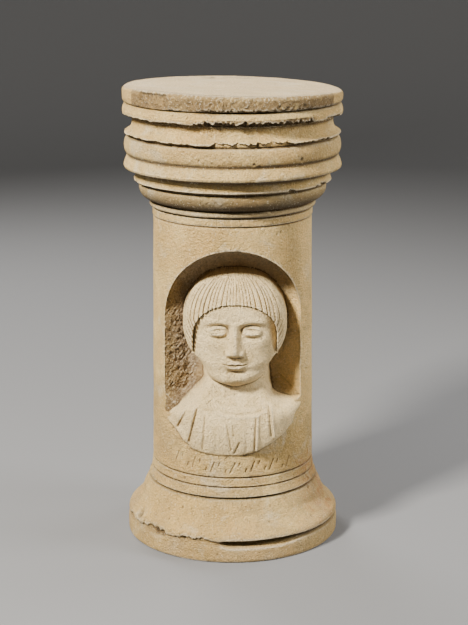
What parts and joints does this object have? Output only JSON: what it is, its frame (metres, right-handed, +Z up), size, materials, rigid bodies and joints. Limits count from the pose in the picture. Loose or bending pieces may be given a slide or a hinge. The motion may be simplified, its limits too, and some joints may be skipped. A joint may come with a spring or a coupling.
{
  "type": "funerary cippus",
  "caption": "Round limestone grave marker: moulded head, plain shaft with a draped bust in a round-headed niche, flared foot and low plinth.",
  "frame": {"origin": "centre of the flat underside, on the axis of the turned shaft", "axes": "+Z up along the axis, -Y out of the niche toward the viewer, +X to the viewer's right"},
  "size_m": [0.3808, 0.3808, 0.8015],
  "materials": {
    "limestone": "weathered warm cream limestone, fine pitted grain, tooled surface with chipped lips"
  },
  "bodies": {
    "root": {"cippus": "limestone"}
  },
  "joints": []
}
